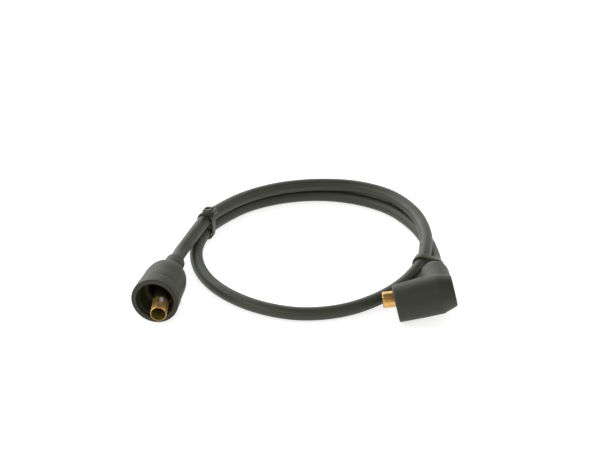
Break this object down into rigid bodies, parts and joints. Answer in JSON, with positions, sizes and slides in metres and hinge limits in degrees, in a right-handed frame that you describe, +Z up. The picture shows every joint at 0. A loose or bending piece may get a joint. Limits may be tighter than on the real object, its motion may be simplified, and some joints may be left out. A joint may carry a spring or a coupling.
{
  "type": "spark plug wire",
  "caption": "Coiled black ignition lead with a straight rubber boot on one end, a right-angle boot on the other, brass sleeve terminals and cable ties.",
  "frame": {"origin": "on the surface that the lead lies on, under the middle of the box round the two boots and their terminals", "axes": "+X from the straight boot towards the right-angle boot, +Y from the boots towards the back of the coil, +Z up"},
  "size_m": [0.1672, 0.1394, 0.0249],
  "materials": {
    "boot_rubber": "moulded, matte with a soft sheen",
    "cable_rubber": "extruded, satin",
    "terminal_brass": "bright rolled sheet",
    "conductor": "stranded, dull",
    "tie_nylon": "moulded, satin"
  },
  "bodies": {
    "root": {"straight_boot": "boot_rubber", "straight_terminal": "terminal_brass", "elbow_boot": "boot_rubber", "elbow_terminal": "terminal_brass", "cable_jacket": "cable_rubber", "cable_core": "conductor", "left_tie": "tie_nylon", "right_tie": "tie_nylon"}
  },
  "joints": []
}
